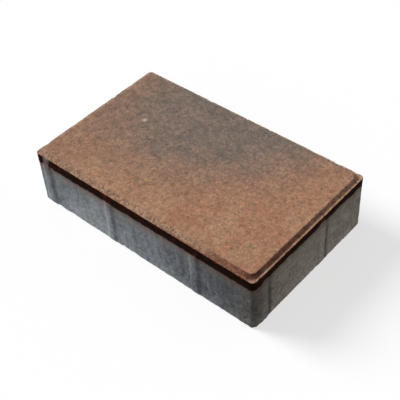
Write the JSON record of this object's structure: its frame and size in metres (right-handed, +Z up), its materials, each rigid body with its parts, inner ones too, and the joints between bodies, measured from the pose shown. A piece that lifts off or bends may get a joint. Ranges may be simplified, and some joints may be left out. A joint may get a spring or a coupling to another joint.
{
  "type": "concrete paving stone",
  "caption": "Rectangular cast concrete paving stone with a grainy brown and grey wearing face, a bevelled edge and grey walls with upright spacer ribs, laid flat on a grit bed.",
  "frame": {"origin": "middle of the bed face, on the ground line", "axes": "+X along the length, +Y across the width, +Z up through the wearing face"},
  "size_m": [0.26, 0.16, 0.06],
  "materials": {
    "concrete": "matte"
  },
  "bodies": {
    "root": {"paving_stone": "concrete"}
  },
  "joints": []
}
